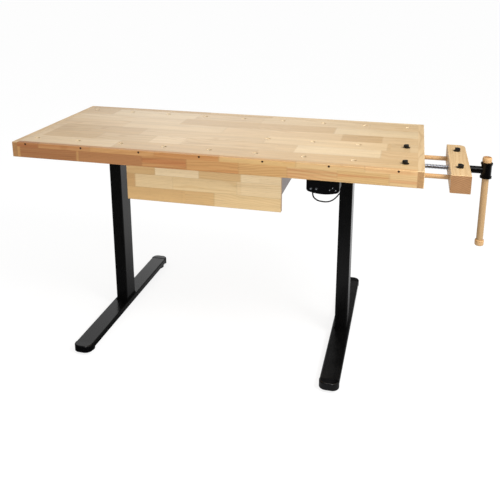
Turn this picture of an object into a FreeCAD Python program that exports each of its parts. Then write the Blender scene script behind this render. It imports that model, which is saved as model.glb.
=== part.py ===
import FreeCAD, Part
import math
import os

V = FreeCAD.Vector
os.makedirs("parts", exist_ok=True)

# ---------------------------------------------------------------------------
# Height-adjustable woodworking bench with an end vise. All sizes in mm.
# Bench coordinates: X runs along the worktop (vise at +X), Y from the front
# edge (-Y) to the back, Z up from the floor. Every piece is shifted by
# SHIFT_X when it is written, so that the origin is the floor point below the
# middle of the whole bench, vise included.
# ---------------------------------------------------------------------------

# worktop
TOP_L = 1500.0          # length, end strips included
TOP_D = 650.0           # depth
TOP_T = 58.0            # thickness
TOP_Z = 808.0           # height of the work surface at the lowest position
END_STRIP = 22.0        # width of the hardwood strip across each end
EDGE_STRIP = 20.0       # depth of the front and back edgings
EDGE_UPPER = 17.0       # height of the upper front strip; the apron is below it
STAVE = 98.0            # width of the edge-glued staves
STAVE_Y = (-208.0, -208.0 + STAVE, -208.0 + 2 * STAVE, -208.0 + 4 * STAVE)   # glue lines between the boards
ARRIS = 1.6             # eased arris round the worktop

# bench-dog holes
DOG_PITCH = 172.0       # along X
DOG_COLS = 9
DOG_R = 10.0
DOG_ROW_FRONT = -250.0
DOG_ROW_MIDDLE = -50.0
DOG_ROW_REAR = 250.0
DOG_MIDDLE_COLS = (1, 2, 3, 4)   # columns of the middle row, counted from the centre
DOG_BLIND = 20.0        # depth of the blind holes above the vise guides
DOG_RIM = 0.8           # chamfer round the top of each hole

# peg holes along the front edge
PEG_R = 4.0
PEG_COUNT = 7
PEG_PITCH = 227.0
PEG_X0 = -694.0
PEG_DROP = 6.0          # centre below the work surface
PEG_DEPTH = 15.0

# lifting frame
COL_X = 475.0           # column centres at -COL_X and +COL_X
COL_W, COL_D, COL_WALL, COL_R = 50.0, 85.0, 2.0, 6.0
INNER_W, INNER_D, INNER_WALL, INNER_R = 43.0, 78.0, 2.0, 4.0
LIFT_TRAVEL = 450.0
FOOT_W, FOOT_H, FOOT_HALF, FOOT_Z = 70.0, 24.0, 385.0, 12.0
FOOT_WALL = 2.0
CAP_L = 30.0            # moulded cap at each end of a foot
CAP_R = 26.0            # its corner radius, seen from above
LEVEL_Y = 366.0         # levelling feet, from the middle of the foot
PAD_R, PAD_H = 30.0, 7.0
PLATE_T = 5.0
PLATE_HOLES = ((-17.0, -30.0), (-17.0, 30.0), (17.0, -30.0), (17.0, 30.0))   # screws of the column plate, inside the tube
COL_TOP = 688.0         # top of the outer tube
INNER_TOP = 699.0
INNER_BOTTOM = 110.0
SCREW_R = 7.0           # lifting screw
LIFT_LEAD = 10.0        # lift per turn

# drawer
DR_X0, DR_X1 = -321.0, 267.0
DR_FACE_Y = -258.0
DR_FACE_T = 20.0
DR_Z0, DR_Z1 = 596.0, 746.0
DR_BOX_Z0, DR_BOX_Z1 = 660.0, 722.0
DR_BACK_Y = 40.0
HANGER_T = 18.0
DRAWER_TRAVEL = 200.0

# end vise
VISE_GAP = 80.0         # jaw opening as modelled
JAW_X0 = TOP_L / 2 + VISE_GAP
JAW_W = 64.0
JAW_Y0, JAW_Y1 = -335.0, 35.0
JAW_DROP = 3.5          # the jaw reaches a little below the worktop
VISE_Y = -150.0         # screw axis
VISE_Z = TOP_Z - 33.0
ROD_R = 8.0
ROD_OFF = 108.0         # guide rods either side of the screw
ROD_IN = 615.0          # inner end of the rods and of the guide bores' working length
BORE_END = 531.0        # inner end of the bores in the worktop
VSCREW_R = 8.0
HUB_X = 955.0
HANDLE_R = 11.6
HANDLE_Z0, HANDLE_Z1 = 500.0, 822.0
VISE_LEAD = 5.0         # jaw travel per turn

# handset and its cable
KEY_X0, KEY_X1 = 366.0, 478.0
KEY_Y0, KEY_Y1 = -320.0, -262.0
KEY_Z0 = 706.0          # lower corners of its face
KEY_SAG = 6.0           # the lower edge bows down by this in the middle
CABLE_D = 5.0

X_MIN = -TOP_L / 2
X_MAX = HUB_X + 19.5
SHIFT_X = -(X_MIN + X_MAX) / 2

UNDER = TOP_Z - TOP_T   # underside of the worktop
HALF_ROOT = math.sqrt(0.5)


def box(x0, y0, z0, x1, y1, z1):
    return Part.makeBox(x1 - x0, y1 - y0, z1 - z0, V(x0, y0, z0))


def cyl(x, y, z, r, h, axis="z"):
    d = {"x": V(1, 0, 0), "y": V(0, 1, 0), "z": V(0, 0, 1)}[axis]
    return Part.makeCylinder(r, h, V(x, y, z), d)


def rbox(x0, y0, z0, x1, y1, z1, r):
    """Box with rounded vertical edges."""
    b = box(x0, y0, z0, x1, y1, z1)
    edges = [e for e in b.Edges if abs(e.Vertexes[0].Z - e.Vertexes[1].Z) > 1e-6]
    return b.makeFillet(r, edges)


def ease(shape, size, test):
    """Chamfer of the straight edges whose midpoint passes the test."""
    edges = []
    for e in shape.Edges:
        m = e.CenterOfMass
        if test(m, e):
            edges.append(e)
    return shape.makeChamfer(size, edges) if edges else shape


def solids(shape):
    return shape.Solids


def put(name, *shapes):
    """Writes one node: its solids, moved into the bench's own frame."""
    parts = []
    for s in shapes:
        parts += s.Solids
    out = Part.makeCompound(parts) if len(parts) > 1 else parts[0]
    out = out.copy()
    out.translate(V(SHIFT_X, 0, 0))
    if not out.isValid():
        print("INVALID", name)
    out.exportStep("parts/" + name + ".step")
    print("%-24s solids %d  volume %.1f cm3" % (name, len(parts), out.Volume / 1000.0))


# ---------------------------------------------------------------------------
# worktop: edge-glued staves between two end strips, with an edging at the
# front (upper strip over a deeper apron) and at the back
# ---------------------------------------------------------------------------
xL, xR = -TOP_L / 2, TOP_L / 2
yF, yB = -TOP_D / 2, TOP_D / 2
xi = TOP_L / 2 - END_STRIP

envelope = box(xL, yF, UNDER, xR, yB, TOP_Z)
envelope = ease(
    envelope,
    ARRIS,
    lambda m, e: abs(m.z - TOP_Z) < 1e-6 or abs(m.z - UNDER) < 1e-6
    or (abs(abs(m.x) - xR) < 1e-6 and abs(abs(m.y) - yB) < 1e-6),
)

cutters = []
dog_free, dog_blind = [], []
for i in range(DOG_COLS):
    k = i - DOG_COLS // 2
    for y in (DOG_ROW_FRONT, DOG_ROW_REAR):
        (dog_blind if (k == 4 and y == DOG_ROW_FRONT) else dog_free).append((k * DOG_PITCH, y))
    if k in DOG_MIDDLE_COLS:
        (dog_blind if k == 4 else dog_free).append((k * DOG_PITCH, DOG_ROW_MIDDLE))
for x, y in dog_free:
    cutters.append(cyl(x, y, UNDER - 1, DOG_R, TOP_T + 2))
for x, y in dog_blind:
    cutters.append(cyl(x, y, TOP_Z - DOG_BLIND, DOG_R, DOG_BLIND + 1))

for x, y in dog_free + dog_blind:
    cutters.append(Part.makeCone(DOG_R, DOG_R + 2 * DOG_RIM, 2 * DOG_RIM, V(x, y, TOP_Z - DOG_RIM), V(0, 0, 1)))

# guide bores and screw bore of the vise, from the right end
for s in (-1, 1):
    cutters.append(cyl(BORE_END, VISE_Y + s * ROD_OFF, VISE_Z, ROD_R + 0.06, xR - BORE_END + 1, "x"))
cutters.append(cyl(BORE_END, VISE_Y, VISE_Z, VSCREW_R + 1.0, xR - BORE_END + 1, "x"))
NUT_L, NUT_R = 42.0, 15.0
cutters.append(cyl(xR - NUT_L, VISE_Y, VISE_Z, NUT_R, NUT_L + 1, "x"))

# peg holes
peg_x = [PEG_X0 + PEG_PITCH * i for i in range(PEG_COUNT)]
peg_z = TOP_Z - PEG_DROP
for x in peg_x:
    cutters.append(cyl(x, yF - 1, peg_z, PEG_R, PEG_DEPTH + 1, "y"))

# pilot holes of the bracket screws
BRACKET_SCREW_Y = (-235.0, -120.0, 120.0, 235.0)
for sx in (-1, 1):
    for y in BRACKET_SCREW_Y:
        cutters.append(cyl(sx * COL_X, y, UNDER - 1, 2.5, 27.0))

boards = [
    ("front_edge_strip", -xi, yF, TOP_Z - EDGE_UPPER, xi, yF + EDGE_STRIP, TOP_Z),
    ("front_apron", -xi, yF, UNDER, xi, yF + EDGE_STRIP, TOP_Z - EDGE_UPPER),
    ("dog_board_front", -xi, yF + EDGE_STRIP, UNDER, xi, STAVE_Y[0], TOP_Z),
    ("slab_board_vise", -xi, STAVE_Y[0], UNDER, xi, STAVE_Y[1], TOP_Z),
    ("dog_board_middle", -xi, STAVE_Y[1], UNDER, xi, STAVE_Y[2], TOP_Z),
    ("slab_board_centre", -xi, STAVE_Y[2], UNDER, xi, STAVE_Y[3], TOP_Z),
    ("dog_board_rear", -xi, STAVE_Y[3], UNDER, xi, yB - EDGE_STRIP, TOP_Z),
    ("back_edge_strip", -xi, yB - EDGE_STRIP, UNDER, xi, yB, TOP_Z),
    ("end_strip_left", xL, yF, UNDER, -xi, yB, TOP_Z),
    ("end_strip_right", xi, yF, UNDER, xR, yB, TOP_Z),
]
for name, x0, y0, z0, x1, y1, z1 in boards:
    b = box(x0, y0, z0, x1, y1, z1).common(envelope)
    bb = b.BoundBox
    near = [c for c in cutters if c.BoundBox.intersect(bb)]
    if near:
        b = b.cut(near)
    put(name, b)

put("edge_pegs", *[cyl(x, yF + 0.6, peg_z, PEG_R, PEG_DEPTH - 0.6, "y") for x in peg_x])

# ---------------------------------------------------------------------------
# feet: flat steel tubes with moulded end caps and levelling feet
# ---------------------------------------------------------------------------
for side, sx in (("left", -1), ("right", 1)):
    cx = sx * COL_X
    outer = box(cx - FOOT_W / 2, -FOOT_HALF, FOOT_Z, cx + FOOT_W / 2, FOOT_HALF, FOOT_Z + FOOT_H)
    long_edges = [e for e in outer.Edges if abs(e.Vertexes[0].Y - e.Vertexes[1].Y) > 1]
    outer = outer.makeFillet(4.0, long_edges)
    w = FOOT_WALL
    inner = box(cx - FOOT_W / 2 + w, -FOOT_HALF - 1, FOOT_Z + w, cx + FOOT_W / 2 - w, FOOT_HALF + 1, FOOT_Z + FOOT_H - w)
    long_edges = [e for e in inner.Edges if abs(e.Vertexes[0].Y - e.Vertexes[1].Y) > 1]
    inner = inner.makeFillet(2.0, long_edges)
    foot = outer.cut(inner)
    for y in (-LEVEL_Y, LEVEL_Y):
        foot = foot.fuse(cyl(cx, y, FOOT_Z + 0.5, 9.0, FOOT_H - 1.0))
    for y in (-LEVEL_Y, LEVEL_Y):
        foot = foot.cut(cyl(cx, y, FOOT_Z - 1, 4.05, 21.0))
    # screw holes for the column plate, each with an access hole in the lower wall
    for hx, hy in PLATE_HOLES:
        foot = foot.cut(cyl(cx + hx, hy, FOOT_Z + FOOT_H - 3.0, 3.0, 4.0))
        foot = foot.cut(cyl(cx + hx, hy, FOOT_Z - 1.0, 6.5, 4.0))
    put("foot_" + side, foot)

caps = []
for sx in (-1, 1):
    for sy in (-1, 1):
        cx = sx * COL_X
        hw = FOOT_W / 2 + 1.0
        y0, y1 = FOOT_HALF, FOOT_HALF + CAP_L
        b = box(cx - hw, y0, FOOT_Z - 1.5, cx + hw, y1, FOOT_Z + FOOT_H + 1.5)
        vert = [e for e in b.Edges if abs(e.Vertexes[0].Z - e.Vertexes[1].Z) > 1 and e.CenterOfMass.y > y1 - 1]
        b = b.makeFillet(CAP_R, vert)
        top = [e for e in b.Edges if e.BoundBox.ZMin > FOOT_Z + FOOT_H + 1.4 and e.BoundBox.YMax > y0 + 1]
        b = b.makeFillet(4.5, top)
        plug = box(cx - FOOT_W / 2 + 3.5, y0 - 8.0, FOOT_Z + 3.5, cx + FOOT_W / 2 - 3.5, y0 + 1, FOOT_Z + FOOT_H - 3.5)
        b = b.fuse(plug).removeSplitter()
        if sy < 0:
            b = b.mirror(V(0, 0, 0), V(0, 1, 0))
        caps.append(b)
put("foot_end_caps", *caps)

for name, sx, sy in (
    ("levelling_foot_front_left", -1, -1), ("levelling_foot_front_right", 1, -1),
    ("levelling_foot_rear_left", -1, 1), ("levelling_foot_rear_right", 1, 1),
):
    cx, cy = sx * COL_X, sy * LEVEL_Y
    pad = cyl(cx, cy, 0.0, PAD_R, PAD_H)
    pad = ease(pad, 2.0, lambda m, e: m.z > PAD_H - 0.1)
    pts = [V(cx + 8.0 * math.cos(math.radians(60 * i)), cy + 8.0 * math.sin(math.radians(60 * i)), PAD_H) for i in range(6)]
    nut = Part.Face(Part.makePolygon(pts + [pts[0]])).extrude(V(0, 0, 4.0))
    stud = cyl(cx, cy, 5.0, 4.0, 24.0)
    put(name, pad.fuse([nut, stud]).removeSplitter())

# ---------------------------------------------------------------------------
# telescopic columns: outer tube with its welded plate on the foot, inner tube
# rising out of it through a plastic collar, lifting screw and nut inside
# ---------------------------------------------------------------------------
plate_z0 = FOOT_Z + FOOT_H
plate_z1 = plate_z0 + PLATE_T
collars, nuts, base_screws, glides = [], [], [], []
for side, sx in (("left", -1), ("right", 1)):
    cx = sx * COL_X
    tube = rbox(cx - COL_W / 2, -COL_D / 2, plate_z1, cx + COL_W / 2, COL_D / 2, COL_TOP, COL_R)
    w = COL_WALL
    void = rbox(cx - COL_W / 2 + w, -COL_D / 2 + w, plate_z1 - 1, cx + COL_W / 2 - w, COL_D / 2 - w, COL_TOP + 1, COL_R - w)
    tube = tube.cut(void)
    plate = rbox(cx - 28.0, -45.5, plate_z0, cx + 28.0, 45.5, plate_z1, 7.0)
    for hx, hy in PLATE_HOLES:
        # driven from below: head inside the foot, thread in the plate
        plate = plate.cut(cyl(cx + hx, hy, plate_z0 - 1, 3.0, PLATE_T + 2))
        head = cyl(cx + hx, hy, plate_z0 - FOOT_WALL - 3.5, 5.0, 3.5)
        base_screws.append(head.fuse(cyl(cx + hx, hy, plate_z0 - FOOT_WALL - 1.0, 3.0, PLATE_T + FOOT_WALL + 1.0)).removeSplitter())
    put("outer_column_" + side, tube.fuse(plate).removeSplitter())

    ring = rbox(cx - COL_W / 2 - 2, -COL_D / 2 - 2, COL_TOP, cx + COL_W / 2 + 2, COL_D / 2 + 2, COL_TOP + 8.0, COL_R + 2)
    hole = rbox(cx - INNER_W / 2 - 0.4, -INNER_D / 2 - 0.4, COL_TOP - 1, cx + INNER_W / 2 + 0.4, INNER_D / 2 + 0.4, COL_TOP + 9.0, INNER_R + 0.4)
    ring = ring.cut(hole)
    collars.append(ring)

    inner = rbox(cx - INNER_W / 2, -INNER_D / 2, INNER_BOTTOM, cx + INNER_W / 2, INNER_D / 2, INNER_TOP, INNER_R)
    iw = INNER_WALL
    ivoid = rbox(cx - INNER_W / 2 + iw, -INNER_D / 2 + iw, INNER_BOTTOM - 1, cx + INNER_W / 2 - iw, INNER_D / 2 - iw, INNER_TOP + 1, INNER_R - iw)
    put("inner_column_" + side, inner.cut(ivoid))

    # four glide pads round the bottom of the inner tube
    for g in (
        box(cx - INNER_W / 2 - 1.1, -22, 118, cx - INNER_W / 2, 22, 158),
        box(cx + INNER_W / 2, -22, 118, cx + INNER_W / 2 + 1.1, 22, 158),
        box(cx - 12, -INNER_D / 2 - 1.1, 118, cx + 12, -INNER_D / 2, 158),
        box(cx - 12, INNER_D / 2, 118, cx + 12, INNER_D / 2 + 1.1, 158),
    ):
        glides.append(g)

    push = cyl(cx, 0, plate_z1, 14.0, 584.0 - plate_z1).cut(cyl(cx, 0, plate_z1 - 1, 10.0, 600.0))
    flange = cyl(cx, 0, plate_z1, 19.0, 5.0).cut(cyl(cx, 0, plate_z1 - 1, 10.0, 8.0))
    nut = cyl(cx, 0, 584.0, 16.0, 28.0).cut(cyl(cx, 0, 583.0, SCREW_R + 0.06, 30.0))
    nuts.append(push.fuse([flange, nut]).removeSplitter())

    put("lift_screw_" + side, cyl(cx, 0, 125.0, SCREW_R, INNER_TOP - 125.0))
put("column_collars", *collars)
put("column_glides", *glides)
put("lift_nut_tubes", *nuts)
put("column_base_screws", *base_screws)

# gear motors, top brackets, crossbars, bracket screws
motors, brackets, bracket_screws = [], [], []
BR_Z0, BR_Z1 = 738.0, 744.0
for sx in (-1, 1):
    cx = sx * COL_X
    gear = rbox(cx - 38, -40, INNER_TOP, cx + 38, 42, BR_Z0, 6.0)
    can = cyl(cx, 40, 718.0, 19.5, 110.0, "y")
    can = ease(can, 2.5, lambda m, e: m.y > 149.0)
    motors.append(gear.fuse(can).removeSplitter())

    top = rbox(cx - 45, -39, BR_Z0, cx + 45, 165, BR_Z1, 6.0)
    arm = rbox(cx - 22, -250, BR_Z1, cx + 22, 250, UNDER, 6.0)
    fx = cx - sx * 45
    flange = box(min(fx, fx + sx * 4), 72, 712, max(fx, fx + sx * 4), 158, BR_Z0 + 2)
    br = top.fuse([arm, flange]).removeSplitter()
    for y in BRACKET_SCREW_Y:
        if -39 < y < 165:
            br = br.cut(cyl(cx, y, BR_Z0 - 1, 7.0, 7.0))   # access hole for the screw head
        br = br.cut(cyl(cx, y, BR_Z1 - 1, 2.5, 8.0))
        head = cyl(cx, y, BR_Z1 - 3.5, 5.5, 3.5)
        shank = cyl(cx, y, BR_Z1 - 1.0, 2.5, UNDER - BR_Z1 + 1.0 + 26.0)
        bracket_screws.append(head.fuse(shank).removeSplitter())
    brackets.append(br)
put("gear_motors", *motors)
put("top_brackets", *brackets)
put("bracket_screws", *bracket_screws)
bars = []
for y in (80.0, 128.0):
    a = COL_X - 45.0
    o = box(-a, y, 714, a, y + 22, 736)
    o = o.makeFillet(2.0, [e for e in o.Edges if abs(e.Vertexes[0].X - e.Vertexes[1].X) > 1])
    i = box(-a - 1, y + 1.5, 715.5, a + 1, y + 20.5, 734.5)
    bars.append(o.cut(i))
put("crossbars", *bars)

# ---------------------------------------------------------------------------
# control box right of the right column, with its sockets
# ---------------------------------------------------------------------------
CB = (570.0, 132.0, 716.0, 715.0, 228.0, UNDER)
cb = box(*CB)
cb = cb.makeFillet(5.0, [e for e in cb.Edges if abs(e.Vertexes[0].Z - e.Vertexes[1].Z) > 1])
cb = ease(cb, 2.0, lambda m, e: abs(m.z - CB[2]) < 1e-6)
cb = cb.cut(box(CB[3] - 16, 166, 721, CB[3] + 1, 194, 741))          # mains inlet
cb = cb.cut(box(600, CB[4] - 12, 722, 618, CB[4] + 1, 735))           # motor sockets
cb = cb.cut(box(650, CB[4] - 12, 722, 668, CB[4] + 1, 735))
BOX_EXIT = (563.0, 180.0, 733.0)
cb = cb.fuse(Part.makeCone(3.0, 4.4, CB[0] - BOX_EXIT[0] + 1.0, V(*BOX_EXIT), V(1, 0, 0))).removeSplitter()
put("control_box", cb)

# ---------------------------------------------------------------------------
# handset under the front edge, with five push buttons
# ---------------------------------------------------------------------------
# outline seen from the front: straight sides, rounded corners of radius
# KEY_R that run tangent into the shallow arc of the lower edge
KEY_R, KEY_ARC = 11.0, 170.0
kcx = (KEY_X0 + KEY_X1) / 2
kcz = KEY_Z0 - KEY_SAG + KEY_ARC
kdx = kcx - (KEY_X0 + KEY_R)
krz = kcz - math.sqrt((KEY_ARC - KEY_R) ** 2 - kdx ** 2)
kux, kuz = -kdx / (KEY_ARC - KEY_R), (krz - kcz) / (KEY_ARC - KEY_R)
ktx, ktz = kcx + kux * KEY_ARC, kcz + kuz * KEY_ARC
ka = (math.pi + math.atan2(ktz - krz, ktx - KEY_X0 - KEY_R) % (2 * math.pi)) / 2
left = [V(KEY_X0, 0, UNDER), V(KEY_X0, 0, krz), V(KEY_X0 + KEY_R + KEY_R * math.cos(ka), 0, krz + KEY_R * math.sin(ka)), V(ktx, 0, ktz)]
right = [V(2 * kcx - p.x, 0, p.z) for p in left]
wire = Part.Wire([
    Part.LineSegment(left[0], left[1]).toShape(),
    Part.Arc(left[1], left[2], left[3]).toShape(),
    Part.Arc(left[3], V(kcx, 0, KEY_Z0 - KEY_SAG), right[3]).toShape(),
    Part.Arc(right[3], right[2], right[1]).toShape(),
    Part.LineSegment(right[1], right[0]).toShape(),
    Part.LineSegment(right[0], left[0]).toShape(),
])
key = Part.Face(wire).extrude(V(0, KEY_Y1 - KEY_Y0, 0))
key.translate(V(0, KEY_Y0, 0))
key = ease(key, 1.5, lambda m, e: abs(m.y - KEY_Y0) < 1e-6 and m.z < UNDER - 1)
BTN = {
    "button_up": (382.0, 717.5, 5.5), "button_down": (400.5, 718.0, 5.5),
    "button_memory_1": (446.0, 717.5, 3.6), "button_memory_2": (456.0, 725.0, 3.6),
    "button_memory_3": (466.0, 717.5, 3.6),
}
for x, z, r in BTN.values():
    key = key.cut(cyl(x, KEY_Y0 - 1, z, r + 0.3, 6.0, "y"))
key = key.cut(box(412, KEY_Y0 - 1, 714, 437, KEY_Y0 + 0.8, 732))      # display window
GLAND = (384.0, -288.0, 698.0)
key = key.fuse(Part.makeCone(3.0, 4.4, KEY_Z0 - GLAND[2] + 1.0, V(*GLAND), V(0, 0, 1))).removeSplitter()
put("handset_housing", key)
for name, (x, z, r) in BTN.items():
    b = cyl(x, KEY_Y0 - 1.5, z, r, 4.4, "y")
    b = ease(b, 0.6, lambda m, e: m.y < KEY_Y0 - 1.4)
    put(name, b)

# handset cable: straight runs joined by tangent arcs, from the strain relief
# under the handset, hanging below the worktop, past the left and round the
# back of the right column, and up into the control box
CABLE = [
    (384.0, -288.0, 698.0), (384.0, -288.0, 686.5), (386.3, -284.0, 675.5), (391.5, -274.0, 664.8),
    (399.5, -251.0, 650.5), (407.0, -212.0, 634.5), (413.0, -165.0, 616.0), (420.5, -112.0, 598.5),
    (428.5, -57.0, 585.5), (435.0, -4.0, 578.0), (440.5, 42.0, 576.0), (450.0, 82.0, 582.0),
    (463.5, 116.0, 596.0), (478.5, 142.0, 616.5), (492.0, 159.0, 641.0), (502.5, 170.0, 666.5),
    (510.5, 176.5, 690.5), (518.8, 179.5, 710.5), (530.6, 180.2, 725.5), (546.5, 180.0, 733.0),
    (563.0, 180.0, 733.0),
]


def tube_along(points, d):
    pts = [V(*p) for p in points]
    edges, last = [], pts[0]
    length = 0.0
    for i in range(1, len(pts) - 1):
        a, b, c = pts[i - 1], pts[i], pts[i + 1]
        u, w = (a - b), (c - b)
        lu, lw = u.Length, w.Length
        u.normalize(); w.normalize()
        turn = math.pi - u.getAngle(w)
        r = 0.45 * min(lu, lw) / math.tan(turn / 2)
        t = r * math.tan(turn / 2)
        p, q = b + u * t, b + w * t
        bis = (u + w); bis.normalize()
        mid = b + bis * (r / math.cos(turn / 2) - r)
        edges.append(Part.LineSegment(last, p).toShape())
        edges.append(Part.Arc(p, mid, q).toShape())
        length += (p - last).Length + r * turn
        last = q
        print("cable point %2d run %.1f turn %.1f deg radius %.1f" % (i, lu, math.degrees(turn), r))
    edges.append(Part.LineSegment(last, pts[-1]).toShape())
    length += (pts[-1] - last).Length
    path = Part.Wire(edges)
    circle = Part.Wire(Part.Circle(pts[0], pts[1] - pts[0], d / 2).toShape())
    pipe = path.makePipeShell([circle], True, False)
    print("cable length %.1f mm, volume %.1f against %.1f" % (length, pipe.Volume, math.pi * d * d / 4 * length))
    return pipe


put("handset_cable", tube_along(CABLE, CABLE_D))

# ---------------------------------------------------------------------------
# drawer: hanger boards and slide rails below the worktop, box on its runners
# ---------------------------------------------------------------------------
hz0 = 656.0
hangers = []
for x0, x1 in ((DR_X0, DR_X0 + HANGER_T), (DR_X1 - HANGER_T, DR_X1)):
    h = box(x0, DR_FACE_Y + DR_FACE_T + 2, hz0, x1, DR_BACK_Y + 20, UNDER)
    h = ease(h, 1.5, lambda m, e: abs(m.z - hz0) < 1e-6)
    hangers.append(h)
put("drawer_hangers", *hangers)


def channel(x_web, sx, y0, y1, z0, z1, depth, t):
    """C section along Y; the web is at x_web and the flanges point towards sx."""
    web = box(min(x_web, x_web + sx * t), y0, z0, max(x_web, x_web + sx * t), y1, z1)
    xa, xb = min(x_web, x_web + sx * depth), max(x_web, x_web + sx * depth)
    low = box(xa, y0, z0, xb, y1, z0 + t)
    high = box(xa, y0, z1 - t, xb, y1, z1)
    return web.fuse([low, high]).removeSplitter()


ry0, ry1 = DR_FACE_Y + DR_FACE_T + 3, DR_BACK_Y
xl_in, xr_in = DR_X0 + HANGER_T, DR_X1 - HANGER_T
rails = [channel(xl_in, 1, ry0, ry1, 672, 707, 8.5, 1.4), channel(xr_in, -1, ry0, ry1, 672, 707, 8.5, 1.4)]
runners = [channel(xl_in + 12, -1, ry0, ry1, 674.2, 704.8, 9.5, 1.4), channel(xr_in - 12, 1, ry0, ry1, 674.2, 704.8, 9.5, 1.4)]
put("drawer_slide_rails", *rails)
put("drawer_slide_runners", *runners)

face = box(DR_X0, DR_FACE_Y, DR_Z0, DR_X1, DR_FACE_Y + DR_FACE_T, DR_Z1)
face = ease(face, 1.2, lambda m, e: abs(m.y - DR_FACE_Y) < 1e-6)
put("drawer_front", face)
bx0, bx1 = xl_in + 12, xr_in - 12
by0 = DR_FACE_Y + DR_FACE_T
SIDE_T = 12.0
put("drawer_side_left", box(bx0, by0, DR_BOX_Z0, bx0 + SIDE_T, DR_BACK_Y, DR_BOX_Z1))
put("drawer_side_right", box(bx1 - SIDE_T, by0, DR_BOX_Z0, bx1, DR_BACK_Y, DR_BOX_Z1))
put("drawer_back", box(bx0 + SIDE_T, DR_BACK_Y - SIDE_T, DR_BOX_Z0 + 4, bx1 - SIDE_T, DR_BACK_Y, DR_BOX_Z1))
put("drawer_bottom", box(bx0 + SIDE_T, by0, DR_BOX_Z0 + 4, bx1 - SIDE_T, DR_BACK_Y - SIDE_T, DR_BOX_Z0 + 10))

# ---------------------------------------------------------------------------
# end vise
# ---------------------------------------------------------------------------
jx0, jx1 = JAW_X0, JAW_X0 + JAW_W
jz0 = UNDER - JAW_DROP
jaw = box(jx0, JAW_Y0, jz0, jx1, JAW_Y1, TOP_Z)
jaw = jaw.makeFillet(22.0, [e for e in jaw.Edges if abs(e.CenterOfMass.x - jx1) < 1e-6 and abs(e.CenterOfMass.y - JAW_Y1) < 1e-6])
jaw = ease(jaw, ARRIS, lambda m, e: abs(m.z - TOP_Z) < 1e-6 or abs(m.z - jz0) < 1e-6)
for s in (-1, 1):
    jaw = jaw.cut(cyl(jx0 - 1, VISE_Y + s * ROD_OFF, VISE_Z, ROD_R, 51.0, "x"))
jaw = jaw.cut(cyl(jx0 - 1, VISE_Y, VISE_Z, VSCREW_R + 0.6, JAW_W + 2, "x"))
jaw = jaw.cut(cyl(jx0 - 1, VISE_Y, VISE_Z, 14.0, 9.0, "x"))           # recess of the retaining collar
jaw_dog_x = jx0 + JAW_W / 2
for y in (DOG_ROW_FRONT, DOG_ROW_MIDDLE):
    jaw = jaw.cut(cyl(jaw_dog_x, y, TOP_Z - DOG_BLIND, DOG_R, DOG_BLIND + 1))
    jaw = jaw.cut(Part.makeCone(DOG_R, DOG_R + 2 * DOG_RIM, 2 * DOG_RIM, V(jaw_dog_x, y, TOP_Z - DOG_RIM), V(0, 0, 1)))
put("vise_jaw", jaw)

rods = []
for s in (-1, 1):
    r = cyl(ROD_IN, VISE_Y + s * ROD_OFF, VISE_Z, ROD_R, jx0 + 50.0 - ROD_IN, "x")
    rods.append(ease(r, 1.5, lambda m, e: m.x < ROD_IN + 0.1))
put("guide_rods", *rods)

put("vise_nut", cyl(xR - NUT_L, VISE_Y, VISE_Z, NUT_R, NUT_L, "x").cut(cyl(xR - NUT_L - 1, VISE_Y, VISE_Z, VSCREW_R + 0.06, NUT_L + 2, "x")))

neck_x0 = jx1 + 0.4
vscrew = cyl(ROD_IN, VISE_Y, VISE_Z, VSCREW_R, neck_x0 + 12.0 - ROD_IN, "x")
vscrew = ease(vscrew, 1.5, lambda m, e: m.x < ROD_IN + 0.1)
put("vise_screw", vscrew)
put("screw_collar", cyl(jx0 + 1.0, VISE_Y, VISE_Z, 13.0, 6.6, "x").cut(cyl(jx0, VISE_Y, VISE_Z, VSCREW_R, 9.0, "x")))

neck = cyl(neck_x0, VISE_Y, VISE_Z, 12.5, HUB_X - neck_x0, "x")
fl = cyl(neck_x0, VISE_Y, VISE_Z, 16.0, 4.0, "x")
barrel = cyl(HUB_X, VISE_Y, VISE_Z - 26.5, 17.2, 53.0)
rim1 = cyl(HUB_X, VISE_Y, VISE_Z - 26.5, 19.5, 6.0)
rim2 = cyl(HUB_X, VISE_Y, VISE_Z + 20.5, 19.5, 6.0)
hub = neck.fuse([fl, barrel, rim1, rim2]).removeSplitter()
hub = hub.cut(cyl(HUB_X, VISE_Y, VISE_Z - 30, HANDLE_R + 0.3, 60.0))
hub = hub.cut(cyl(neck_x0 - 1, VISE_Y, VISE_Z, VSCREW_R, 13.0, "x"))
put("vise_hub", hub)

handle = cyl(HUB_X, VISE_Y, HANDLE_Z0 + 6, HANDLE_R, HANDLE_Z1 - HANDLE_Z0 - 12)
put("vise_handle", handle)


def knob(z0, z1):
    """Turned end cap with rounded rims and a blind bore for the handle."""
    r, e = 15.6, 3.0
    w = Part.Wire([
        Part.LineSegment(V(0, 0, z0), V(r - e, 0, z0)).toShape(),
        Part.Arc(V(r - e, 0, z0), V(r - e + e * HALF_ROOT, 0, z0 + e - e * HALF_ROOT), V(r, 0, z0 + e)).toShape(),
        Part.LineSegment(V(r, 0, z0 + e), V(r, 0, z1 - e)).toShape(),
        Part.Arc(V(r, 0, z1 - e), V(r - e + e * HALF_ROOT, 0, z1 - e + e * HALF_ROOT), V(r - e, 0, z1)).toShape(),
        Part.LineSegment(V(r - e, 0, z1), V(0, 0, z1)).toShape(),
        Part.LineSegment(V(0, 0, z1), V(0, 0, z0)).toShape(),
    ])
    k = Part.Face(w).revolve(V(0, 0, 0), V(0, 0, 1), 360)
    k.translate(V(HUB_X, VISE_Y, 0))
    if not k.isValid() or k.Volume < 0:
        k = Part.Solid(k.Shells[0]) if k.Shells else k
    return k


kt = knob(VISE_Z + 27.0, HANDLE_Z1).cut(handle)
kb = knob(HANDLE_Z0, HANDLE_Z0 + 22.0).cut(handle)
put("handle_caps", kt, kb)

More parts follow.
